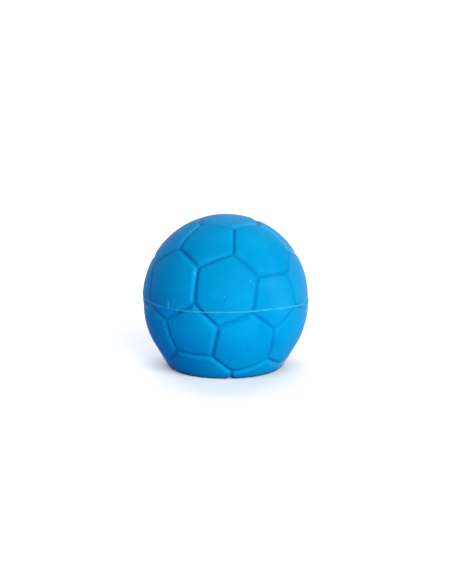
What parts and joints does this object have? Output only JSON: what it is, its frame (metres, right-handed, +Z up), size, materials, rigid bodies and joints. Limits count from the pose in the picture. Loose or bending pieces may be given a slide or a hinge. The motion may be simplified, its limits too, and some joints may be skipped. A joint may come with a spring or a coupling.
{
  "type": "case opening friction ball",
  "caption": "Palm-sized hollow blue rubber ball with moulded panel grooves, a raised joint line round its middle and a flat grip face, for unscrewing watch case backs by friction.",
  "frame": {"origin": "centre of the flat grip face, which the ball stands on", "axes": "+Z up through the crown, square to the grip face and to the joint plane; -Y is the side the picture shows; +X to its right"},
  "size_m": [0.0606, 0.0606, 0.0556],
  "materials": {
    "upper_rubber": "matt, slightly tacky moulded blue rubber",
    "lower_rubber": "matt, slightly tacky moulded blue rubber",
    "bond_cement": "cured rubber cement, a lighter blue raised line"
  },
  "bodies": {
    "root": {"upper_half": "upper_rubber", "lower_half": "lower_rubber", "seam_bond": "bond_cement"}
  },
  "joints": []
}
